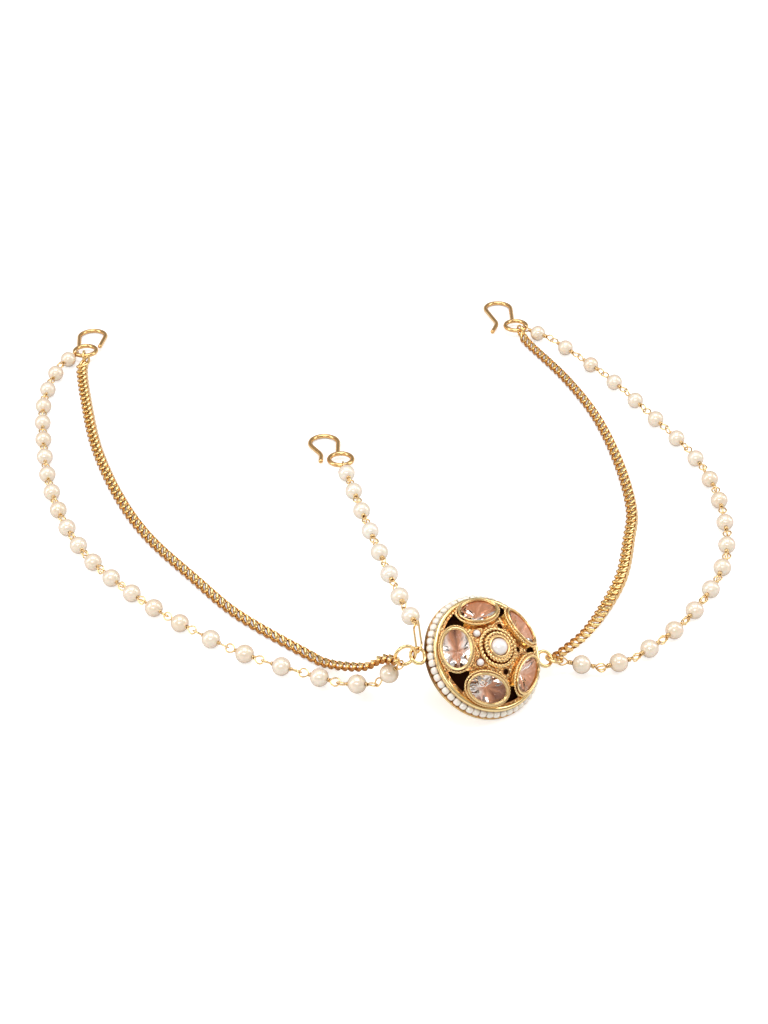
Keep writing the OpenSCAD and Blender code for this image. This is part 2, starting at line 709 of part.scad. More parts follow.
// Places children at a small hole near the collar, z out of the dome
module at_gap(i) {
  rotate([0, 0, stone_start + 360 / stone_count * (i + 0.5)])
    translate([0, 0, dome_z]) rotate([0, gap_hole_lean, 0]) translate([0, 0, dome_r]) children();
}

module pendant_metal() {
  cylinder(h = flange_t, r = flange_r);
  difference() {
    cylinder(h = rim_z + 0.4, r = wall_r);
    translate([0, 0, -1]) cylinder(h = rim_z + 3, r = wall_r - wall_t);
  }
  rotate_extrude() translate([rim_r - rim_w, rim_z]) square([rim_w, rim_edge_h]);
  translate([0, 0, rim_z + rim_edge_h]) wire_ring(rim_r - rim_bead_r - 0.04, rim_bead_r);
  dome_shell();
  for (i = [0:stone_count - 1]) at_stone(i) bezel();
  translate([0, 0, centre_pearl_z - centre_pearl_r - cup_floor])
    cylinder(h = centre_pearl_r + cup_floor + collar_rise, r = centre_pearl_r + gap + collar_t);
  translate([0, 0, dome_z + sqrt(pow(dome_r, 2) - pow(wire_ring_d / 2, 2)) + wire_ring_t * 0.2])
    wire_ring(wire_ring_d / 2, wire_ring_t / 2);
  for (a = [left_eye, right_eye])
    rotate([0, 0, a]) {
      translate([side_eye_at, 0, side_eye_z]) wire_ring(side_eye_r, side_eye_t / 2);
      translate([flange_r - 1, -0.9, 0.05]) cube([1.5, 1.8, flange_t - 0.1]);
    }
}

module pendant_frame() {
  color(GOLD)
    leaned()
      difference() {
        pendant_metal();
        for (i = [0:stone_count - 1]) {
          at_stone(i) stone_room();
          rotate([0, 0, stone_start + 360 / stone_count * (i + 0.5)])
            translate([0, 0, rim_z - 0.3]) window();
          at_gap(i) cylinder(h = 3, d = gap_pearl_d * gap_hole_share, center = true);
        }
        for (i = [0, 4])
          at_gap(i) translate([0, 0, gap_pearl_rise]) sphere(gap_pearl_d / 2 + gap);
        translate([0, 0, centre_pearl_z]) sphere(centre_pearl_r + gap);
      }
}

module stone_in_place(i) {
  color(PEACH) leaned() at_stone(i) stone();
}

module centre_pearl() {
  color(PEARL) leaned() translate([0, 0, centre_pearl_z]) sphere(centre_pearl_r);
}

module gap_pearl(i) {
  color(PEARL) leaned() at_gap(i) translate([0, 0, gap_pearl_rise]) sphere(gap_pearl_d / 2);
}

module seed_pearl_ring() {
  color(PEARL) leaned() translate([0, 0, flange_t + gap + seed_r]) wire_ring(seed_ring_r, seed_r);
}

translate(layout_shift) pendant_frame();
translate(layout_shift) stone_in_place(0);  // stone_1
translate(layout_shift) stone_in_place(1);  // stone_2
translate(layout_shift) stone_in_place(2);  // stone_3
translate(layout_shift) stone_in_place(3);  // stone_4
translate(layout_shift) stone_in_place(4);  // stone_5
translate(layout_shift) centre_pearl();
translate(layout_shift) gap_pearl(0);  // gap_pearl_1
translate(layout_shift) gap_pearl(4);  // gap_pearl_2
translate(layout_shift) seed_pearl_ring();
translate(layout_shift) color(PALE_GOLD) jump_ring(left_eye, jump_left_r, jump_left_turn);  // jump_ring_left
translate(layout_shift) color(PALE_GOLD) jump_ring(right_eye, jump_right_r, jump_right_turn);  // jump_ring_right
translate(layout_shift) color(PALE_GOLD) middle_loop();
translate(layout_shift) color(GOLD) curb_chain(chain_track_left);  // curb_chain_left
translate(layout_shift) color(GOLD) curb_chain(chain_track_right);  // curb_chain_right
translate(layout_shift) color(GOLD) chain_ring(grip_chain_left, way_chain_left);  // chain_ring_left
translate(layout_shift) color(GOLD) chain_ring(grip_chain_right, way_chain_right);  // chain_ring_right
translate(layout_shift) color(PEARL) pearl_string(track_left, string_left);  // pearls_left
translate(layout_shift) color(PEARL) pearl_string(track_middle, string_middle);  // pearls_middle
translate(layout_shift) color(PEARL) pearl_string(track_right, string_right);  // pearls_right
translate(layout_shift) color(PALE_GOLD) pins(track_left, string_left, roll_left);  // pins_left
translate(layout_shift) color(PALE_GOLD) pins(track_middle, string_middle, roll_middle);  // pins_middle
translate(layout_shift) color(PALE_GOLD) pins(track_right, string_right, roll_right);  // pins_right
translate(layout_shift) color(DARK_GOLD) hook(hook_table[0]);  // hook_left
translate(layout_shift) color(DARK_GOLD) hook(hook_table[1]);  // hook_middle
translate(layout_shift) color(DARK_GOLD) hook(hook_table[2]);  // hook_right
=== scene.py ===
# %% [markdown]
# # A matha patti in Blender
# A matha patti is a head jewel: a round domed pendant for the forehead, a pearl string and a
# curb chain to each side of the head, and one pearl string over the parting, each ending in a
# hook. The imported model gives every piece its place. This lesson dresses those places with
# what a jeweller would see: drilled pearls, bent wire, soldered links, rope wire and foiled glass.

# %% Load the frame
import math
import random

import bpy
import numpy as np
from mathutils import Matrix, Vector, noise


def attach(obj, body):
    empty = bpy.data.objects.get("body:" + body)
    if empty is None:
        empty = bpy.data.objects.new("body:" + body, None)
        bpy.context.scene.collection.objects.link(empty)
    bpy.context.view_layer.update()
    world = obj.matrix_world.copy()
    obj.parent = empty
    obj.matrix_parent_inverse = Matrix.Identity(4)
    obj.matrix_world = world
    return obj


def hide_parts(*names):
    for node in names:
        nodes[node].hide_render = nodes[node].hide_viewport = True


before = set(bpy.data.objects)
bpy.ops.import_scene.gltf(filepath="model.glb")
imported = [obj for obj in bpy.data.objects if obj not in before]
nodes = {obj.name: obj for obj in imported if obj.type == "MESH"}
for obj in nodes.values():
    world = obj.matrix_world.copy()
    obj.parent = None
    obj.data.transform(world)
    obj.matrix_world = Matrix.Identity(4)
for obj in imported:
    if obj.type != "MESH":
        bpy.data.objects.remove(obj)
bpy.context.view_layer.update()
MM = 0.001
print("nodes in the frame:", len(nodes))

# %% [markdown]
# ## Camera, floor and light
# Jewellery is photographed on white with large soft lights, so that the polished wire shows a
# bright side, a warm middle and a dark edge. The camera looks down at 38 degrees with a longish
# lens. The floor is plain and pale. Dark bands in the surroundings are as important as the
# lights, because polished gold only shows what stands round it.

# %% Camera
CAMERA_DOWN = math.radians(38)
CAMERA_AT = (0.00435, -0.428, 0.32375)
camera_data = bpy.data.cameras.new("camera")
camera_data.sensor_fit = "VERTICAL"
camera_data.sensor_height = 36
camera_data.lens = 63.04
camera_data.clip_start = 0.01
camera = bpy.data.objects.new("camera", camera_data)
camera.location = CAMERA_AT
camera.rotation_euler = (math.pi / 2 - CAMERA_DOWN, 0, 0)
bpy.context.scene.collection.objects.link(camera)
bpy.context.scene.camera = camera
bpy.context.scene.view_settings.view_transform = "Standard"
print("camera", round(camera.location.length, 3), "m from the middle of the jewel")

# %% Small helpers for shader nodes


def new_material(name):
    """A material with node tree, and its Principled shader."""
    material = bpy.data.materials.new(name)
    material.use_nodes = True
    return material, material.node_tree, material.node_tree.nodes["Principled BSDF"]


def add_node(tree, kind, x=0, y=0, **values):
    """A new node in a tree, with its settings."""
    node = tree.nodes.new(kind)
    node.location = (x, y)
    for key, value in values.items():
        setattr(node, key, value)
    return node


def set_inputs(node, **values):
    """Values by socket name, with _ for a space."""
    for key, value in values.items():
        node.inputs[key.replace("_", " ")].default_value = value


# %% Floor
FLOOR_Z, FLOOR_HALF, FLOOR_GLOW = -0.00006, 3.0, 0.5
floor_mesh = bpy.data.meshes.new("table_top")
corners = [(x * FLOOR_HALF, y * FLOOR_HALF, FLOOR_Z) for x, y in ((-1, -1), (1, -1), (1, 1), (-1, 1))]
floor_mesh.from_pydata(corners, [], [(0, 1, 2, 3)])
floor = bpy.data.objects.new("table_top", floor_mesh)
bpy.context.scene.collection.objects.link(floor)
floor_white, tree, shader = new_material("white_table")
set_inputs(shader, Base_Color=(0.8, 0.8, 0.8, 1), Roughness=0.9, Specular_IOR_Level=0.0)
shader.inputs["Emission Color"].default_value = (1, 1, 1, 1)
rays = add_node(tree, "ShaderNodeLightPath", -500, -300)
glow = add_node(tree, "ShaderNodeMath", -250, -300, operation="MULTIPLY")
glow.inputs[1].default_value = FLOOR_GLOW
tree.links.new(rays.outputs["Is Camera Ray"], glow.inputs[0])
tree.links.new(glow.outputs[0], shader.inputs["Emission Strength"])
floor_mesh.materials.append(floor_white)
print("floor:", 2 * FLOOR_HALF, "m wide")

# %% Lights


def softbox(name, place, aim, size, power, tint=(1, 1, 1)):
    """A soft area light at a place, turned towards a point."""
    data = bpy.data.lights.new(name, "AREA")
    data.shape = "RECTANGLE"
    data.size, data.size_y = size
    data.energy = power
    data.color = tint
    light = bpy.data.objects.new(name, data)
    light.location = place
    light.rotation_euler = (Vector(aim) - Vector(place)).to_track_quat("-Z", "Y").to_euler()
    bpy.context.scene.collection.objects.link(light)
    return light


softbox("top_box", (0.0, 0.05, 0.9), (0, 0, 0), (0.7, 0.5), 3.4)
softbox("left_box", (-0.8, -0.15, 0.5), (0, 0, 0), (0.35, 0.8), 2.6)
softbox("right_box", (0.8, 0.1, 0.45), (0, 0, 0), (0.3, 0.7), 2.0)
softbox("front_box", (-0.1, -0.8, 0.75), (0, 0, 0), (0.5, 0.2), 1.8)

world = bpy.data.worlds.new("studio")
bpy.context.scene.world = world
world.use_nodes = True
tree = world.node_tree
backdrop = tree.nodes["Background"]
where = add_node(tree, "ShaderNodeTexCoord", -900, 0)
split = add_node(tree, "ShaderNodeSeparateXYZ", -700, 0)
bands = add_node(tree, "ShaderNodeValToRGB", -500, 0)
tree.links.new(where.outputs["Generated"], split.inputs[0])
tree.links.new(split.outputs["Z"], bands.inputs[0])
ramp = bands.color_ramp
ramp.elements[0].position = 0.0
ramp.elements[0].color = (0.8, 0.8, 0.8, 1)
ramp.elements[1].position = 1.0
ramp.elements[1].color = (0.5, 0.5, 0.5, 1)
for position, level in [(0.1, 0.85), (0.2, 0.34), (0.5, 0.28), (0.65, 0.6)]:
    mark = ramp.elements.new(position)
    mark.color = (level, level * 0.92, level * 0.84, 1)
tree.links.new(bands.outputs["Color"], backdrop.inputs["Color"])
backdrop.inputs["Strength"].default_value = 1.0
print("lights:", len(bpy.data.lights))

# %% [markdown]
# ## Finding the pieces in the frame
# A string is one node with many loose pieces. Instead of copying their places by hand, the
# helper below welds a node's vertices by position, follows its edges and hands back one cloud of
# points for each loose piece. Every pin and link is then measured from its own cloud, and each
# pearl is placed on its pin.

# %% Loose pieces of a node


def islands(name):
    """The vertices of each loose solid of a node, in metres, in a fixed order."""
    mesh = nodes[name].data
    points = np.zeros(len(mesh.vertices) * 3, np.float32)
    mesh.vertices.foreach_get("co", points)
    points = points.reshape(-1, 3).astype(float)
    edges = np.zeros(len(mesh.edges) * 2, np.int32)
    mesh.edges.foreach_get("vertices", edges)
    spots, same = np.unique(np.round(points * 1e7).astype(np.int64), axis=0, return_inverse=True)
    same = same.reshape(-1)
    ends = same[edges.reshape(-1, 2)]
    group = np.arange(len(spots))
    while True:
        low = np.minimum(group[ends[:, 0]], group[ends[:, 1]])
        before = group.copy()
        np.minimum.at(group, ends[:, 0], low)
        np.minimum.at(group, ends[:, 1], low)
        group = group[group]
        if (group == before).all():
            break
    spots = spots * 1e-7
    return [spots[group == g] for g in np.unique(group)]


def main_axes(cloud):
    """Middle of a cloud of points and its axes, longest first, right-handed."""
    middle = cloud.mean(0)
    axes = np.linalg.svd(cloud - middle, full_matrices=False)[2]
    if np.linalg.det(axes) < 0:
        axes[2] = -axes[2]
    return middle, axes


pin_clouds = {side: islands("pins_" + side) for side in ("left", "middle", "right")}
link_clouds = {side: islands("curb_chain_" + side) for side in ("left", "right")}
print("pins:", {side: len(clouds) for side, clouds in pin_clouds.items()})
print("links:", {side: len(clouds) for side, clouds in link_clouds.items()})

# %% Meshes from rings of points


def grid_faces(rows, columns, close_rows, close_columns):
    """Quads between rows and columns of points."""
    faces = []
    for j in range(rows if close_rows else rows - 1):
        for k in range(columns if close_columns else columns - 1):
            j2, k2 = (j + 1) % rows, (k + 1) % columns
            faces.append((j * columns + k, j * columns + k2, j2 * columns + k2, j2 * columns + k))
    return faces


def directions(path, closed):
    """Unit tangents along a path."""
    if closed:
        run = np.roll(path, -1, 0) - np.roll(path, 1, 0)
    else:
        run = np.gradient(path, axis=0)
    return run / np.linalg.norm(run, axis=1, keepdims=True)


def tube(path, radius, sides=10, closed=False, up=None, flat=1.0, lobes=0, lobe_depth=0.0, twist=0.0):
    """A tube round a path. up keeps its profile upright; lobes and twist make it a rope."""
    path = np.asarray(path, float)
    along = directions(path, closed)
    rows = len(path)
    radius = np.broadcast_to(np.asarray(radius, float), (rows,))
    if up is None:
        start = np.cross(along[0], (0.3, 0.5, 0.81))
        frames = [start / np.linalg.norm(start)]
        for j in range(1, rows):
            side = frames[-1] - along[j] * np.dot(frames[-1], along[j])
            frames.append(side / np.linalg.norm(side))
        side = np.array(frames)
    else:
        side = np.cross(np.broadcast_to(up, (rows, 3)), along)
        side /= np.linalg.norm(side, axis=1, keepdims=True)
    rise = np.cross(along, side)
    step = np.linalg.norm(np.roll(path, -1, 0) - path, axis=1)
    travelled = np.concatenate([[0], np.cumsum(step)[:-1]])
    turn = 2 * math.pi * np.arange(sides) / sides
    points = np.zeros((rows, sides, 3))
    for k in range(sides):
        grow = 1.0
        if lobes:
            swell = np.abs(np.cos(lobes * (turn[k] - twist * travelled) / 2)) ** 0.7
            grow = 1 - lobe_depth + lobe_depth * swell
        points[:, k] = (path + (radius * grow * math.cos(turn[k]))[:, None] * side
                        + (radius * grow * flat * math.sin(turn[k]))[:, None] * rise)
    points = points.reshape(-1, 3)
    faces = grid_faces(rows, sides, closed, True)
    if not closed:
        faces.append(tuple(range(sides - 1, -1, -1)))
        faces.append(tuple((rows - 1) * sides + k for k in range(sides)))
    return points, faces


def lathe(profile, steps, closed_profile):
    """A profile of (radius, height) pairs turned round the z axis."""
    profile = np.asarray(profile, float)
    turn = 2 * math.pi * np.arange(steps) / steps
    points = np.stack([
        profile[:, None, 0] * np.cos(turn), profile[:, None, 0] * np.sin(turn),
        np.repeat(profile[:, None, 1], steps, 1)], 2)
    faces = grid_faces(len(profile), steps, closed_profile, True)
    return points.reshape(-1, 3), [f[::-1] for f in faces]


def joined(parts):
    """One list of points and faces from many."""
    points, faces, start = [], [], 0
    for part_points, part_faces in parts:
        points.append(part_points)
        faces.extend(tuple(i + start for i in face) for face in part_faces)
        start += len(part_points)
    return np.concatenate(points), faces


def moved(part, matrix):
    """A part in another place."""
    points, faces = part
    matrix = np.array(matrix)
    return points @ matrix[:3, :3].T + matrix[:3, 3], faces


def make_piece(name, part, material, stands_for=(), tones=None, sharp=None):
    """A smooth object from a part in millimetres, riding on the frame's only body."""
    points, faces = part
    mesh = bpy.data.meshes.new(name)
    mesh.from_pydata((points * MM).tolist(), [], faces)
    mesh.shade_smooth()
    if sharp is not None:
        mesh.set_sharp_from_angle(angle=math.radians(sharp))
    if tones is not None:
        mark = mesh.attributes.new("tone", "FLOAT", "POINT")
        mark.data.foreach_set("value", np.asarray(tones, np.float32))
    mesh.materials.append(material)
    piece = bpy.data.objects.new(name, mesh)
    bpy.context.scene.collection.objects.link(piece)
    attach(piece, "root")
    if stands_for:
        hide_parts(*stands_for)
    print(name, len(points), "points")
    return piece


# %% [markdown]
# ## Finishes as node groups
# Plated wire is never one colour. Where a cloth can't reach, the plate goes brown and orange;
# where it can, it is paler and smoother. Two effects are used by several materials, so each is a
# node group with its own sliders: one darkens recesses, which is painted shade as well as tarnish,
# the other gives cloudy patches and the fine unevenness of hand polish.

# %% Group: painted shade and tarnish in recesses


def new_group(name, inputs, outputs):
    """A shader node group with its sockets, its input node and its output node."""
    group = bpy.data.node_groups.new(name, "ShaderNodeTree")
    for label, low, high, value in inputs:
        socket = group.interface.new_socket(name=label, in_out="INPUT", socket_type="NodeSocketFloat")
        socket.min_value, socket.max_value, socket.default_value = low, high, value
    for label in outputs:
        group.interface.new_socket(name=label, in_out="OUTPUT", socket_type="NodeSocketFloat")
    source = add_node(group, "NodeGroupInput", -1200, 0)
    result = add_node(group, "NodeGroupOutput", 600, 0)
    return group, source, result


recess_shade_group, source, result = new_group(
    "recess_shade_and_tarnish", [("Reach", 0, 1, 0.001), ("Strength", 0, 4, 1.0)], ["Mask"])
# Ambient occlusion finds the recesses; the mask darkens them: painted shade together with tarnish.
nearby = add_node(recess_shade_group, "ShaderNodeAmbientOcclusion", -900, 0, samples=6)
inverse = add_node(recess_shade_group, "ShaderNodeMath", -650, 0, operation="SUBTRACT")
inverse.inputs[0].default_value = 1.0
stronger = add_node(recess_shade_group, "ShaderNodeMath", -400, 0, operation="MULTIPLY", use_clamp=True)
recess_shade_group.links.new(source.outputs["Reach"], nearby.inputs["Distance"])
recess_shade_group.links.new(nearby.outputs["AO"], inverse.inputs[1])
recess_shade_group.links.new(inverse.outputs[0], stronger.inputs[0])
recess_shade_group.links.new(source.outputs["Strength"], stronger.inputs[1])
recess_shade_group.links.new(stronger.outputs[0], result.inputs["Mask"])
print("node group:", recess_shade_group.name)

# %% Group: hand polish
polish_group, source, result = new_group(
    "hand_polish",
    [("Cloud Scale", 0, 5000, 300.0), ("Grain Scale", 0, 50000, 4000.0), ("Rough Low", 0, 1, 0.15),
     ("Rough High", 0, 1, 0.3)],
    ["Cloud", "Roughness", "Height"])
where = add_node(polish_group, "ShaderNodeTexCoord", -1200, -300)
cloud = add_node(polish_group, "ShaderNodeTexNoise", -900, 0)
set_inputs(cloud, Detail=3.0, Roughness=0.6)
grain = add_node(polish_group, "ShaderNodeTexNoise", -900, -350)
set_inputs(grain, Detail=2.0, Roughness=0.5)
rough = add_node(polish_group, "ShaderNodeMapRange", -500, -150)
polish_group.links.new(where.outputs["Object"], cloud.inputs["Vector"])
polish_group.links.new(where.outputs["Object"], grain.inputs["Vector"])
polish_group.links.new(source.outputs["Cloud Scale"], cloud.inputs["Scale"])
polish_group.links.new(source.outputs["Grain Scale"], grain.inputs["Scale"])
polish_group.links.new(cloud.outputs[0], rough.inputs["Value"])
rough.inputs["From Min"].default_value = 0.35
rough.inputs["From Max"].default_value = 0.65
polish_group.links.new(source.outputs["Rough Low"], rough.inputs["To Min"])
polish_group.links.new(source.outputs["Rough High"], rough.inputs["To Max"])
polish_group.links.new(cloud.outputs[0], result.inputs["Cloud"])
polish_group.links.new(rough.outputs[0], result.inputs["Roughness"])
polish_group.links.new(grain.outputs[0], result.inputs["Height"])
print("node group:", polish_group.name)

# %% Gold plate, in six colours


def gold_plate(name, bright, worn, shade_and_tarnish, rough, reach, shade_strength, bump=0.15, grain=4000.0):
    """Metal from bright to worn in clouds, and to a brown of painted shade and tarnish in corners and where
    "tone" says.
    """
    material, tree, shader = new_material(name)
    shader.inputs["Metallic"].default_value = 1.0
    polish = add_node(tree, "ShaderNodeGroup", -900, -100, node_tree=polish_group)
    set_inputs(polish, Cloud_Scale=260.0, Grain_Scale=grain, Rough_Low=rough[0], Rough_High=rough[1])
    # Occlusion in the corners: painted shade, together with tarnish.
    corners = add_node(tree, "ShaderNodeGroup", -900, 250, node_tree=recess_shade_group)
    set_inputs(corners, Reach=reach * MM, Strength=shade_strength)
    plate = add_node(tree, "ShaderNodeMix", -600, 100, data_type="RGBA")
    plate.inputs[6].default_value = (*bright, 1)
    plate.inputs[7].default_value = (*worn, 1)
    dark = add_node(tree, "ShaderNodeMix", -350, 200, data_type="RGBA")
    dark.inputs[7].default_value = (*shade_and_tarnish, 1)
    tree.links.new(polish.outputs["Cloud"], plate.inputs[0])
    tree.links.new(plate.outputs[2], dark.inputs[6])
    tone = add_node(tree, "ShaderNodeAttribute", -900, 450, attribute_name="tone")
    # The darker of the occlusion mask and the "tone" attribute mixes in the brown of painted shade and
    # tarnish.
    darker = add_node(tree, "ShaderNodeMath", -600, 350, operation="MAXIMUM")
    tree.links.new(corners.outputs["Mask"], darker.inputs[0])
    tree.links.new(tone.outputs["Fac"], darker.inputs[1])
    tree.links.new(darker.outputs[0], dark.inputs[0])
    tree.links.new(dark.outputs[2], shader.inputs["Base Color"])
    tree.links.new(polish.outputs["Roughness"], shader.inputs["Roughness"])
    relief = add_node(tree, "ShaderNodeBump", -350, -250)
    set_inputs(relief, Strength=bump, Distance=0.02 * MM)
    tree.links.new(polish.outputs["Height"], relief.inputs["Height"])
    tree.links.new(relief.outputs["Normal"], shader.inputs["Normal"])
    return material


# Each finish: bright, worn, the brown of painted shade and tarnish, roughness, and reach and strength of
# that brown.
bright_gold = gold_plate("bright_gold", (1.0, 0.84, 0.47), (0.99, 0.72, 0.33), (0.60, 0.22, 0.04),
                         (0.12, 0.24), 0.8, 1.3)
chased_gold = gold_plate("chased_gold", (1.0, 0.85, 0.46), (1.0, 0.66, 0.26), (0.38, 0.10, 0.015),
                         (0.14, 0.28), 0.7, 2.2, bump=0.4, grain=2500.0)
yellow_gold = gold_plate("yellow_gold", (1.0, 0.81, 0.41), (0.99, 0.66, 0.26), (0.45, 0.16, 0.03),
                         (0.12, 0.22), 0.7, 1.2)
pale_gold = gold_plate("pale_gold", (1.0, 0.80, 0.46), (0.94, 0.62, 0.26), (0.45, 0.20, 0.06),
                       (0.12, 0.22), 0.6, 1.2)
aged_gold = gold_plate("aged_gold", (0.95, 0.66, 0.32), (0.84, 0.50, 0.20), (0.42, 0.18, 0.05),
                       (0.14, 0.26), 0.8, 1.0)
# Near-black brown for the inside of the dome and the edge below the seed pearls: painted shade.
painted_shade_lining = gold_plate("painted_shade_lining", (0.22, 0.09, 0.04), (0.10, 0.04, 0.02), (0.02, 0.008, 0.004),
                         (0.4, 0.6), 3.0, 1.5)
plates = (bright_gold, chased_gold, yellow_gold, pale_gold, aged_gold, painted_shade_lining)
print("gold plate:", [plate.name for plate in plates])

# %% [markdown]
# ## Pearl finish
# An imitation pearl is a cream bead under many thin coats of lacquer. Light enters a little,
# spreads and comes back warm, while the top coat gives a small sharp window of light. Towards its
# outline the base colour is mixed to brown, which is painted shade; a Layer Weight node finds
# that rim. A slight difference of tone from bead to bead keeps a string from looking stamped.

# %% Pearls and seed pearls


def pearl_coat(name, light, warm, rim_painted_shade, rough, cloud_scale):
    """Lacquer from light to warm in clouds and from bead to bead, mixed towards the outline to a brown of
    painted shade.
    """
    material, tree, shader = new_material(name)
    set_inputs(shader, Coat_Weight=1.0, Coat_Roughness=0.06, Coat_IOR=1.9, Specular_IOR_Level=0.8,
               Subsurface_Weight=0.08, Subsurface_Scale=0.0006)
    polish = add_node(tree, "ShaderNodeGroup", -900, -100, node_tree=polish_group)
    set_inputs(polish, Cloud_Scale=cloud_scale, Grain_Scale=6000.0, Rough_Low=rough[0], Rough_High=rough[1])
    tone = add_node(tree, "ShaderNodeAttribute", -900, 200, attribute_name="tone")
    blend = add_node(tree, "ShaderNodeMath", -700, 150, operation="MULTIPLY_ADD", use_clamp=True)
    blend.inputs[1].default_value = 0.5
    tree.links.new(polish.outputs["Cloud"], blend.inputs[0])
    tree.links.new(tone.outputs["Fac"], blend.inputs[2])
    colour = add_node(tree, "ShaderNodeMix", -450, 150, data_type="RGBA")
    colour.inputs[6].default_value = (*light, 1)
    colour.inputs[7].default_value = (*warm, 1)
    tree.links.new(blend.outputs[0], colour.inputs[0])
    # Towards the outline the base colour is mixed to a brown: painted shade.
    edge_on = add_node(tree, "ShaderNodeLayerWeight", -900, 450)
    edge_on.inputs["Blend"].default_value = 0.5
    band = add_node(tree, "ShaderNodeMapRange", -650, 450)
    set_inputs(band, From_Min=0.25, From_Max=0.9, To_Max=0.7)
    rim = add_node(tree, "ShaderNodeMix", -200, 250, data_type="RGBA")
    rim.inputs[7].default_value = (*rim_painted_shade, 1)
    tree.links.new(edge_on.outputs["Facing"], band.inputs["Value"])
    tree.links.new(band.outputs[0], rim.inputs[0])
    tree.links.new(colour.outputs[2], rim.inputs[6])
    tree.links.new(rim.outputs[2], shader.inputs["Base Color"])
    tree.links.new(polish.outputs["Roughness"], shader.inputs["Roughness"])
    relief = add_node(tree, "ShaderNodeBump", -450, -250)
    set_inputs(relief, Strength=0.08, Distance=0.01 * MM)
    tree.links.new(polish.outputs["Height"], relief.inputs["Height"])
    tree.links.new(relief.outputs["Normal"], shader.inputs["Normal"])
    return material


# Each coat: a light and a warm cream, the brown of painted shade at the outline, roughness and cloud scale.
pearl_cream = pearl_coat(
    "pearl_cream", (0.96, 0.87, 0.74), (0.92, 0.76, 0.57), (0.50, 0.26, 0.10), (0.12, 0.22), 200.0)
pearl_pale = pearl_coat(
    "pearl_pale", (0.98, 0.94, 0.87), (0.93, 0.83, 0.68), (0.55, 0.34, 0.15), (0.12, 0.22), 200.0)
pearl_white = pearl_coat(
    "pearl_white", (0.97, 0.95, 0.94), (0.95, 0.91, 0.89), (0.66, 0.50, 0.44), (0.15, 0.25), 200.0)
seed_cream = pearl_coat(
    "seed_cream", (0.97, 0.94, 0.87), (0.95, 0.89, 0.79), (0.80, 0.62, 0.38), (0.25, 0.35), 400.0)
print("pearl coats:", [coat.name for coat in (pearl_cream, pearl_pale, pearl_white, seed_cream)])

# %% [markdown]
# ## The pearl strings
# Each pearl sits on its own pin: a straight wire through the hole, an eye at both ends, and the
# wire's tail wound round the neck. The eyes of neighbouring pins hang in each other. A tube drawn
# along the true path of the wire shows the winding; the pearl is turned on a lathe with its hole.

# %% Shape of a drilled pearl


def drilled_pearl(radius, hole, steps=40):
    """A bead along z: the outside from hole to hole, then back through the bore."""
    first = math.asin(hole / radius)
    arc = np.linspace(first * 1.25, math.pi - first * 1.25, 22)
    outside = [(radius * math.sin(a), radius * math.cos(a)) for a in arc]
    lip = math.sqrt(radius**2 - hole**2) - 0.06 * radius
    bore = [(hole, -lip), (hole * 0.98, 0), (hole, lip)]
    return lathe(outside + bore, steps, True)


def basis(x_axis, y_axis, z_axis, place):
    """A matrix whose columns are three axes and a place."""
    matrix = np.eye(4)
    matrix[:3, 0], matrix[:3, 1], matrix[:3, 2], matrix[:3, 3] = x_axis, y_axis, z_axis, place
    return matrix


# %% Measure the pins
EYE_R, EYE_WIRE, FRAME_WIRE = 1.3, 0.21, 0.225


def measure_pin(cloud):
    """A pin's middle, direction, eye normal and half the way between its eyes, in millimetres."""
    cloud = cloud / MM
    middle, axes = main_axes(cloud)
    reach = (cloud - middle) @ axes[0]
    limit = reach.max() - 2 * EYE_R + 0.1
    eyes = [cloud[reach * sign > limit] for sign in (-1, 1)]
    ends = [eye.mean(0) for eye in eyes]
    normal = np.linalg.svd(eyes[1] - ends[1], full_matrices=False)[2][2]
    along = ends[1] - ends[0]
    along /= np.linalg.norm(along)
    half = ((cloud - middle) @ along).max() - EYE_R - FRAME_WIRE
    middle = (ends[0] + ends[1]) / 2
    normal = normal - along * np.dot(normal, along)
    return middle, along, normal / np.linalg.norm(normal), half


pins = {side: [measure_pin(c) for c in clouds] for side, clouds in pin_clouds.items()}
for side in pins:
    print(side, "half length of a pin:", round(float(np.mean([p[3] for p in pins[side]])), 3))

# %% Wire of one pin
PEARL_R, HOLE_R = 2.5, 0.34
COIL_PITCH, EYE_STEPS, COIL_STEPS = 0.44, 24, 10


def eye_and_coil(half, sign, rng, coil_r):
    """The wire from the pearl's middle along x, round the eye and wound back to the pearl."""
    neck = half - EYE_R
    squeeze = rng.uniform(0.55, 0.75)
    lean = rng.uniform(-0.05, 0.05)
    points = [(0.0, 0, 0), (neck * 0.5, 0, 0), (neck - 0.25, 0, 0)]
    for step in range(1, EYE_STEPS):
        a = 2 * math.pi * step / EYE_STEPS
        width = squeeze + (1 - squeeze) * math.sin(a / 2) ** 2
        sideways = (EYE_R * width + lean) * math.sin(a)
        points.append((half - EYE_R * math.cos(a), sideways, 0.1 * (step / EYE_STEPS - 0.5)))
    turns = max((neck - PEARL_R - 0.1) / COIL_PITCH, 1.0)
    start = neck - 0.12
    spin = rng.uniform(-0.3, 0.3)
    for step in range(int(turns * COIL_STEPS) + 1):
        a = 2 * math.pi * step / COIL_STEPS + math.pi + spin
        grip = coil_r * min(1.0, 0.4 + step / 4)
        points.append((start - COIL_PITCH * step / COIL_STEPS, grip * math.sin(a), grip * math.cos(a)))
    return np.array(points) * (sign, sign, 1)


def pin_wire(pin, rng, coil_r):
    """Both halves of a pin's wire, in their place."""
    middle, along, normal, half = pin
    place = basis(along, np.cross(normal, along), normal, middle)
    halves = [tube(eye_and_coil(half, sign, rng, coil_r), EYE_WIRE, 8) for sign in (-1, 1)]
    return joined([moved(wire, place) for wire in halves])


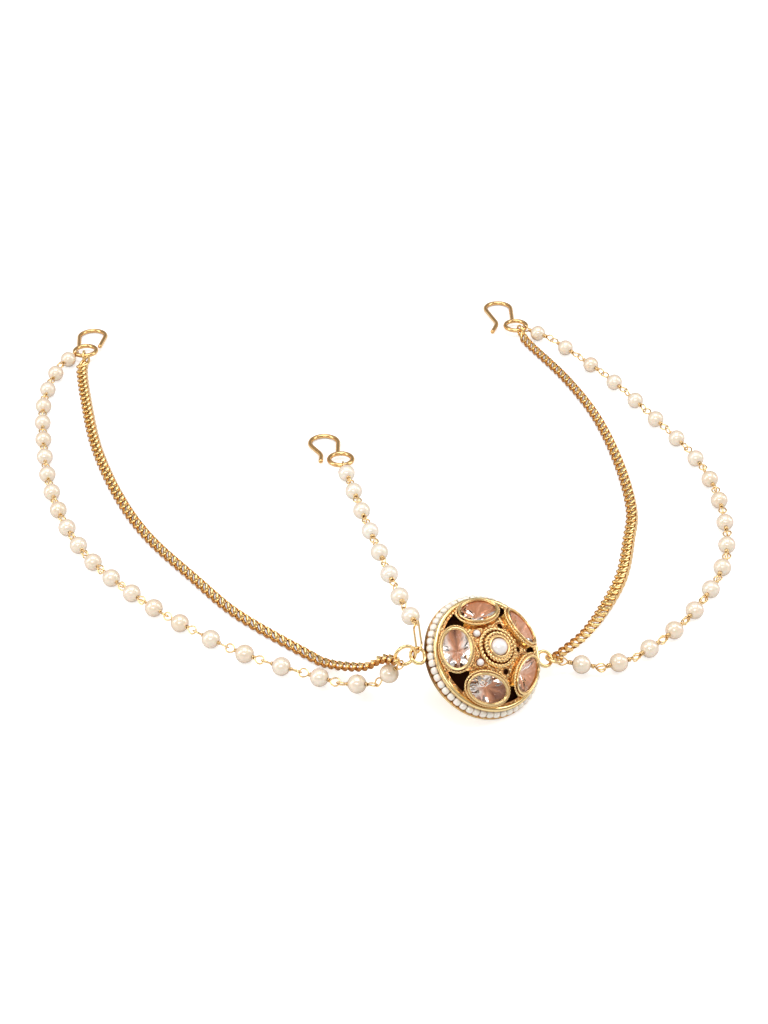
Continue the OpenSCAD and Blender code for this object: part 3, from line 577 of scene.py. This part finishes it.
# %% Make the pearls and their pins
COIL_R = {"left": 0.42, "middle": 0.6, "right": 0.48}
for side, coil_r in COIL_R.items():
    rng = random.Random(5 + len(side))
    beads, wires, tones = [], [], []
    for pin in pins[side]:
        middle, along, normal, _ = pin
        lathe_axis = basis(normal, np.cross(along, normal), along, middle)
        size = PEARL_R * rng.uniform(0.985, 1.0)
        bead = moved(drilled_pearl(size, HOLE_R), lathe_axis)
        beads.append(bead)
        tones += [rng.uniform(0, 0.55)] * len(bead[0])
        wires.append(pin_wire(pin, rng, coil_r))
    coat = pearl_pale if side == "middle" else pearl_cream
    make_piece("pearls_on_" + side, joined(beads), coat, ["pearls_" + side], tones)
    make_piece("wire_pins_" + side, joined(wires), pale_gold, ["pins_" + side])

# %% [markdown]
# ## The curb chains
# A curb link is an oval of wire, twisted so that it lies flat against its neighbours. Here the
# links also slant across the chain, like strokes of a pen. One edge of the chain is pressed
# smooth, and on the other the links stand out like teeth with dark tips. A twisted oval alone
# shows neither, so the line of the wire is written as a formula: SLANT leans it, EDGE_SQUARE makes
# its one side straight, TOOTH_TAPER narrows the other, and a plane cuts the straight side flat.
# The teeth's dark tips and the duller cut edge are painted shade, kept in the "tone" attribute.

# %% Order and place of the links


def in_order(middles):
    """The order of the links from the hook's end on, always to the nearest one left."""
    left = set(range(len(middles)))
    now = int(np.argmax(middles[:, 1]))
    order = []
    while left:
        order.append(now)
        left.discard(now)
        if left:
            now = min(left, key=lambda k: np.linalg.norm(middles[k] - middles[order[-1]]))
    return order


def link_places(clouds):
    """A matrix for each link: x along the chain, z on its upper side."""
    found = [main_axes(cloud / MM) for cloud in clouds]
    middles = np.array([middle for middle, _ in found])
    order = in_order(middles)
    above, places = np.array((0, 0, 1.0)), []
    for step, k in enumerate(order):
        before, after = order[max(step - 1, 0)], order[min(step + 1, len(order) - 1)]
        run = middles[after] - middles[before]
        along, up = found[k][1][0], found[k][1][2]
        along = along if np.dot(along, run) > 0 else -along
        up = up if np.dot(up, above) > 0 else -up
        above = up
        places.append(basis(along, np.cross(up, along), up, middles[k]))
    return places


# %% Curb links
LINK_L, LINK_W, LINK_WIRE, LINK_TWIST = 4.1, 4.0, 1.02, -0.45
SLANT, TOOTH_TAPER, EDGE_SQUARE = -1.3, 0.3, 0.65
PRESSED, EDGE_CUT, EDGE_CUT_AT = 0.85, math.radians(30), 1.15
# The last two set a painted shadow on the teeth's tips and a little painted shade on the cut edge.
TIP_LENGTH, TIP_FADE, TIP_PAINTED_SHADOW, CUT_PAINTED_SHADE = 0.7, 0.5, 0.9, 0.3


def curb_link(steps=32, sides=12):
    """One link, and the painted shade of each of its points: a painted shadow on the teeth's tips, a little
    painted shade on the cut edge.
    """
    a = 2 * math.pi * np.arange(steps) / steps
    straight_side = np.sin(a) > 0
    y = np.where(straight_side, np.abs(np.sin(a)) ** EDGE_SQUARE, np.sin(a)) * (LINK_W - LINK_WIRE) / 2
    x = np.cos(a) * (LINK_L - LINK_WIRE) / 2
    x *= np.where(straight_side, 1, 1 - TOOTH_TAPER * np.abs(np.sin(a)) ** 1.5)
    path = np.stack([x + SLANT * y, y, LINK_TWIST * np.sin(2 * a)], 1)
    points, faces = tube(path, LINK_WIRE / 2, sides, closed=True, up=(0, 0, 1))
    top = PRESSED * (abs(LINK_TWIST) + LINK_WIRE / 2)
    points[:, 2] = np.clip(points[:, 2], -top, top)
    cut = np.array((0, math.cos(EDGE_CUT), math.sin(EDGE_CUT)))
    over = points @ cut - EDGE_CUT_AT
    points -= np.maximum(over, 0)[:, None] * cut
    tip = np.clip((-points[:, 1] - LINK_W / 2 + TIP_LENGTH) / TIP_FADE, 0, TIP_PAINTED_SHADOW)
    return (points, faces), np.maximum(tip, np.where(over > 0, CUT_PAINTED_SHADE, 0))


# dark holds the painted shade of each point of a link.
link, dark = curb_link()
for side, clouds in link_clouds.items():
    links = [moved(link, place) for place in link_places(clouds)]
    make_piece("curb_links_" + side, joined(links), yellow_gold, ["curb_chain_" + side],
               list(dark) * len(links), sharp=35)

# %% [markdown]
# ## Hooks, rings and the long loop
# These are plain bent wire of one thickness. The frame's own shapes are already the real ones,
# so they keep their meshes and only get a finish, as do the pendant's soldered metal and its
# three single pearls.

# %% Finish for the frame's own pieces
own_shapes = {
    "hook_left": aged_gold, "hook_middle": aged_gold, "hook_right": aged_gold,
    "chain_ring_left": yellow_gold, "chain_ring_right": yellow_gold,
    "jump_ring_left": pale_gold, "jump_ring_right": pale_gold, "middle_loop": pale_gold,
    "pendant_frame": bright_gold, "centre_pearl": pearl_white,
    "gap_pearl_1": pearl_white, "gap_pearl_2": pearl_white,
}
for name, material in own_shapes.items():
    nodes[name].data.materials.clear()
    nodes[name].data.materials.append(material)
print("finished frame pieces:", len(own_shapes))

# %% [markdown]
# ## The pendant's own frame of reference
# The pendant leans on its rim. It is easiest to work on it lying flat on its back, as on a
# bench, and to lean every piece over at the end with one matrix.

# %% Leaning matrix
LEAN, LEAN_HEADING = math.radians(37.5), math.radians(-47)
PENDANT_BACK = (29.4, -87.35, 9.984)
leaned = (Matrix.Translation(PENDANT_BACK) @ Matrix.Rotation(LEAN_HEADING, 4, "Z")
          @ Matrix.Rotation(LEAN, 4, "Y") @ Matrix.Rotation(-LEAN_HEADING, 4, "Z"))
DOME_R, DOME_Z = 20.0, -10.83
STONES, FIRST_STONE, STONE_LEAN = 5, 193, math.radians(31)
print("the pendant leans over by", round(math.degrees(LEAN), 1), "degrees")


def at_stone(i):
    """From a stone's own frame (x along the rim, z out) to the pendant flat on its back."""
    turned = Matrix.Rotation(math.radians(FIRST_STONE + 360 / STONES * i), 4, "Z")
    return (turned @ Matrix.Translation((0, 0, DOME_Z)) @ Matrix.Rotation(STONE_LEAN, 4, "Y")
            @ Matrix.Translation((0, 0, DOME_R)) @ Matrix.Rotation(math.pi / 2, 4, "Z"))


def outwards(lean_angle, turn):
    """The direction from the dome's middle to a place on it."""
    flat = math.sin(lean_angle)
    return np.array([flat * math.cos(turn), flat * math.sin(turn), math.cos(lean_angle)])


OVAL_FINE = 720


def oval_path(a, b, z, steps):
    """An oval with half axes a and b, its points evenly spaced."""
    turn = 2 * math.pi * np.arange(OVAL_FINE) / OVAL_FINE
    fine = np.stack([a * np.cos(turn), b * np.sin(turn)], 1)
    step = np.linalg.norm(np.roll(fine, -1, 0) - fine, axis=1)
    travelled = np.concatenate([[0], np.cumsum(step)])
    wanted = travelled[-1] * np.arange(steps) / steps
    turn = 2 * math.pi * np.interp(wanted, travelled, np.arange(OVAL_FINE + 1)) / OVAL_FINE
    return np.stack([a * np.cos(turn), b * np.sin(turn), np.full(steps, z)], 1)


def hoop(a, b, z, radius, steps, sides, flat=1.0):
    """Plain wire bent round an oval."""
    return tube(oval_path(a, b, z, steps), radius, sides, closed=True, up=(0, 0, 1), flat=flat)


def rope(a, b, z, radius, strands_per_turn, steps, lobes=2, depth=0.35):
    """Twisted wire round an oval: a whole number of turns, so that its ends meet."""
    path = oval_path(a, b, z, steps)
    length = np.linalg.norm(np.roll(path, -1, 0) - path, axis=1).sum()
    twist = 2 * math.pi * strands_per_turn / lobes / length
    return tube(path, radius, 12, closed=True, up=(0, 0, 1), lobes=lobes, lobe_depth=depth, twist=twist)


# %% [markdown]
# ## Settings round the stones
# Each oval stone sits in a bezel: a rounded rim of wire, a thin inner edge pressed over the stone
# and a skirt of twisted wire at its foot. The frame holds the plain bezel; the rounded rim and
# the twisted wire are laid on it here.

# %% Bezel rims and skirts
STONE_A, STONE_B, SKIRT = 5.15, 3.5, 0.85
RIM_WIRES = ((0.32, 1.3, 0.24), (0.02, 1.18, 0.12))
rims, skirts = [], []
for i in range(STONES):
    place = at_stone(i)
    for grow, z, radius in RIM_WIRES:
        rims.append(moved(hoop(STONE_A + grow, STONE_B + grow, z, radius, 72, 12), place))
    skirts.append(moved(rope(STONE_A + SKIRT, STONE_B + SKIRT, 0.75, 0.36, 44, 484, depth=0.6), place))
make_piece("bezel_rims", moved(joined(rims), leaned), bright_gold)
make_piece("bezel_ropes", moved(joined(skirts), leaned), chased_gold)

# %% Collar, ropes and rim band
collar = [hoop(2.62, 2.62, 10.02, 0.27, 64, 10), hoop(14.5, 14.5, 3.42, 0.72, 160, 14, flat=0.72),
          hoop(13.66, 13.66, 3.5, 0.17, 140, 8)]
make_piece("collar_and_rim", moved(joined(collar), leaned), bright_gold)
ropes = [rope(3.55, 3.55, 9.6, 0.62, 24, 336, depth=0.55),
         rope(4.8, 4.8, 8.95, 0.64, 30, 420, depth=0.55)]
make_piece("collar_ropes", moved(joined(ropes), leaned), chased_gold)

# %% [markdown]
# ## Grained ground of the dome
# Between the settings the dome isn't smooth: small grains of gold were melted onto it. A fine grid
# follows the dome and is raised by packed grains, and the lower a point lies, the browner it is
# painted: patina and painted shade between the grains. The grid is left out over the stones, the
# small holes and the large openings.

# %% Where the ground is free
WINDOW_IN, WINDOW_OUT, WINDOW_HALF = 9.3, 13.5, math.radians(14)
HOLE_X, HOLE_CLEAR, BEZEL_CLEAR = DOME_R * math.sin(math.radians(18.5)), 0.85, 0.95
STONE_MEAN, STONE_NEAR, NO_LIMIT = 4.5, -6, 9.0
stone_inverse = [np.array(at_stone(i).inverted()) for i in range(STONES)]


def free_ground(point):
    """How far a point of the dome is from the nearest setting or opening; below 0 inside one."""
    free = NO_LIMIT
    for inverse_place in stone_inverse:
        local = inverse_place[:3, :3] @ point + inverse_place[:3, 3]
        if local[2] > STONE_NEAR:
            share = math.hypot(local[0] / (STONE_A + BEZEL_CLEAR), local[1] / (STONE_B + BEZEL_CLEAR))
            free = min(free, (share - 1) * STONE_MEAN)
    radius = math.hypot(point[0], point[1])
    far = WINDOW_OUT * math.cos(WINDOW_HALF)
    for i in range(STONES):
        middle = math.radians(FIRST_STONE + 360 / STONES * (i + 0.5))
        x = point[0] * math.cos(middle) + point[1] * math.sin(middle)
        y = -point[0] * math.sin(middle) + point[1] * math.cos(middle)
        side = abs(y) - WINDOW_OUT * math.sin(WINDOW_HALF) * (x - WINDOW_IN) / (far - WINDOW_IN)
        if x > 0:
            window = max(side * 0.75, WINDOW_IN - x, radius - WINDOW_OUT)
            free = min(free, window, math.hypot(x - HOLE_X, y) - HOLE_CLEAR)
    return free


print("left out of the ground: settings, openings and small holes,", STONES, "of each")

# %% Grained dome
GRAINS = ((1.25, 1.55, 0.34, (0, 0, 0)), (2.7, 1.6, 0.14, (7, 3, 1)))
RINGS, ROUND, GROUND_SHIFT, OVERLAP, FADE = 64, 420, 0.02, 0.12, 0.3
# Between grains lower than HOLLOW_BELOW the ground gets brown, up to DARKEST: patina and painted shade.
HOLLOW_BELOW, DARKEST = 0.22, 0.85


def grain_height(point):
    """Packed grains of two sizes, each with a scale, a narrowness, a height and a shift."""
    height = 0
    for scale, narrow, tall, shift in GRAINS:
        from_middle = noise.voronoi(Vector(point) * scale + Vector(shift))[0][0]
        height += tall * max(0.0, 1 - (from_middle * narrow) ** 2)
    return height


ground, keep, hollow = [], [], []
for lean_angle in np.radians(np.linspace(14.6, 44.6, RINGS)):
    for turn in 2 * math.pi * np.arange(ROUND) / ROUND:
        out = outwards(lean_angle, turn)
        base = out * DOME_R + (0, 0, DOME_Z)
        free = free_ground(base)
        keep.append(free > -OVERLAP)
        raised = grain_height(base) * min(free / FADE, 1.0) if free > 0 else 0
        ground.append(base + out * (GROUND_SHIFT + raised))
        # The lower a point between the grains, the browner: patina and painted shade.
        hollow.append(min(max(1 - raised / HOLLOW_BELOW, 0.0), DARKEST))
faces = [f for f in grid_faces(RINGS, ROUND, False, True) if all(keep[i] for i in f)]
used = sorted({i for f in faces for i in f})
new_index = {old: new for new, old in enumerate(used)}
ground_part = (np.array([ground[i] for i in used]), [tuple(new_index[i] for i in f) for f in faces])
make_piece("grained_ground", moved(ground_part, leaned), chased_gold,
           tones=[hollow[i] for i in used])

# %% [markdown]
# ## Seed pearls and a painted shadow edge
# Fifty seed pearls are threaded round the pendant's side. They are short beads, drilled through,
# and sit shoulder to shoulder. Below them, on the left, a thin dark wire is the painted shadow
# under the back plate's edge.

# %% Seed pearls
SEEDS, SEED_RING, SEED_Z = 50, 15.42, 1.6
SEED_R, SEED_HALF, SEED_HOLE, SEED_LIP = 1.0, 0.96, 0.2, 0.7
rng = random.Random(11)
beads, tones = [], []
for i in range(SEEDS):
    turn = 2 * math.pi * i / SEEDS + rng.uniform(-0.006, 0.006)
    arc = np.linspace(0.28, math.pi - 0.28, 16)
    size = SEED_R * rng.uniform(0.95, 1.0)
    outside = [(size * math.sin(a) ** 0.5, SEED_HALF * math.cos(a)) for a in arc]
    bead = lathe(outside + [(SEED_HOLE, -SEED_LIP), (SEED_HOLE, SEED_LIP)], 24, True)
    out, up = np.array((math.cos(turn), math.sin(turn), 0)), (0, 0, 1)
    bead = moved(bead, basis(out, up, np.cross(out, up), SEED_RING * out + (0, 0, SEED_Z)))
    beads.append(bead)
    tones += [rng.uniform(0, 0.5)] * len(bead[0])
make_piece("seed_pearls", moved(joined(beads), leaned), seed_cream,
           ["seed_pearl_ring"], tones)

# %% Painted shadow edge and painted shade lining
# A thin dark wire along the left, thinning at both ends: painted shadow under the back plate.
EDGE_R, EDGE_WIRE, EDGE_STEPS = 16.2, 0.32, 90
turn = np.radians(np.linspace(148, 240, EDGE_STEPS))
edge_path = np.stack([EDGE_R * np.cos(turn), EDGE_R * np.sin(turn), np.full(EDGE_STEPS, 0.34)], 1)
thinning = np.sin(np.linspace(0.3, math.pi - 0.3, EDGE_STEPS)) ** 0.5
edge = tube(edge_path, EDGE_WIRE * thinning, 8, up=(0, 0, 1))
# A dark shell inside the dome, with a dark floor and wall inside the rim, makes the openings dark: painted
# shade.
RINGS, ROUND, LINING_R = 40, 240, DOME_R - 0.98
lining_points, keep = [], []
for lean_angle in np.radians(np.linspace(4, 42, RINGS)):
    for turn in 2 * math.pi * np.arange(ROUND) / ROUND:
        out = outwards(lean_angle, turn)
        keep.append(free_ground(out * DOME_R + (0, 0, DOME_Z)) > -0.05)
        lining_points.append(out * LINING_R + (0, 0, DOME_Z))
faces = [f for f in grid_faces(RINGS, ROUND, False, True) if all(keep[i] for i in f)]
lining = (np.array(lining_points), faces)
wall = lathe([(0.02, 0.64), (13.38, 0.64), (13.38, 3.2)], 160, False)
make_piece("painted_shade_backing", moved(joined([edge, lining, wall]), leaned), painted_shade_lining)

# %% [markdown]
# ## Foiled stones
# The five oval stones are cut glass with a copper foil behind them. The glass bends the light,
# the foil throws it back facet by facet, and that gives the white flashes beside brown and pink.
# The glass keeps the frame's cut shape; the foil is a thin cup just outside its pointed back.
# Many bounces inside a real stone are slow to trace, so their light is painted on the foil: each
# facet has a tone of its own, from a painted white flash over salmon to painted brown shade, and
# the foil glows a little although it is no lamp. The two upper stones are nearly even.

# %% Glass and foil
stone_glass, tree, shader = new_material("peach_glass")
set_inputs(shader, Base_Color=(1.0, 0.96, 0.93, 1), Roughness=0.02, IOR=1.35, Transmission_Weight=1.0)
painted_light_foil, tree, shader = new_material("copper_foil_painted_light")
# The foil glows with its own colours although it is no lamp: painted light.
set_inputs(shader, Metallic=0.45, Roughness=0.3, Emission_Strength=0.35)
polish = add_node(tree, "ShaderNodeGroup", -1100, 0, node_tree=polish_group)
set_inputs(polish, Cloud_Scale=450.0, Grain_Scale=3000.0)
facet = add_node(tree, "ShaderNodeAttribute", -1100, -300, attribute_name="tone")
drift = add_node(tree, "ShaderNodeMath", -850, -100, operation="MULTIPLY_ADD")
drift.inputs[1].default_value = 0.12
colour = add_node(tree, "ShaderNodeValToRGB", -600, 0)
marks = colour.color_ramp.elements
marks.new(1.0)
# Painted white flash at 0.1, salmon at 0.5, painted brown shade at 1.
FOIL_FLASH_TO_SHADE = ((0.1, (1.0, 0.97, 0.95)), (0.5, (0.66, 0.33, 0.19)), (1.0, (0.13, 0.05, 0.035)))
for mark, (position, tint) in zip(marks, FOIL_FLASH_TO_SHADE):
    mark.position, mark.color = position, (*tint, 1)
tree.links.new(polish.outputs["Cloud"], drift.inputs[0])
tree.links.new(facet.outputs["Fac"], drift.inputs[2])
tree.links.new(drift.outputs[0], colour.inputs[0])
tree.links.new(colour.outputs["Color"], shader.inputs["Base Color"])
tree.links.new(colour.outputs["Color"], shader.inputs["Emission Color"])
print("foil colours:", len(marks))

# %% Foil cups
GIRDLE_Z, STONE_DEPTH = 0.5, 2.7


def stone_ring(count, turn, share, z):
    """Points round a stone, at a share of its size."""
    a = 2 * math.pi * (np.arange(count) + turn) / count
    return np.stack([STONE_A * share * np.cos(a), STONE_B * share * np.sin(a), np.full(count, z)], 1)


def foil_cup():
    """The stone's pointed back, a little larger."""
    ring = stone_ring(16, 0, 1.0, GIRDLE_Z - 0.02)
    mid = stone_ring(8, 0.5, 0.51, GIRDLE_Z - STONE_DEPTH * 0.62 - 0.05)
    tip = np.array([[0, 0, GIRDLE_Z - STONE_DEPTH - 0.06]])
    points = np.concatenate([ring, mid, tip])
    faces = []
    for i in range(8):
        a, b, c = 2 * i, 2 * i + 1, (2 * i + 2) % 16
        m, before = 16 + i, 16 + (i + 7) % 8
        faces += [(m, a, b), (m, b, c), (24, a, m), (24, before, a)]
    return points, faces


# Painted light of each stone's foil: eight facets round the rim and the tip, from painted flash at 0 to
# painted shade at 1.
FOIL_PAINTED_LIGHT = [
    (0.50, 0.30, 0.00, 0.00, 0.95, 0.10, 0.00, 0.25, 0.65),
    (0.85, 0.78, 0.60, 0.30, 0.05, 0.00, 0.15, 0.85, 0.50),
    (0.35, 0.22, 0.40, 0.50, 0.45, 0.60, 0.55, 0.50, 0.30),
    (0.44, 0.42, 0.44, 0.46, 0.50, 0.46, 0.44, 0.42, 0.50),
    (0.42, 0.42, 0.44, 0.52, 0.56, 0.50, 0.44, 0.42, 0.50)]


def facet_tones(eight):
    """Tones of a cup's 25 points from eight round the rim and one at the tip."""
    rim = [(eight[(k // 2) % 8] + eight[((k + 1) // 2) % 8]) / 2 for k in range(16)]
    mid = [(eight[k] + eight[(k + 1) % 8]) / 2 for k in range(8)]
    return rim + mid + [eight[8]]


cups = [moved(foil_cup(), at_stone(i)) for i in range(STONES)]
tones = [tone for eight in FOIL_PAINTED_LIGHT for tone in facet_tones(eight)]
make_piece("foil_cups", moved(joined(cups), leaned), painted_light_foil, tones=tones, sharp=1)
for i in range(1, STONES + 1):
    nodes[f"stone_{i}"].data.materials.clear()
    nodes[f"stone_{i}"].data.materials.append(stone_glass)
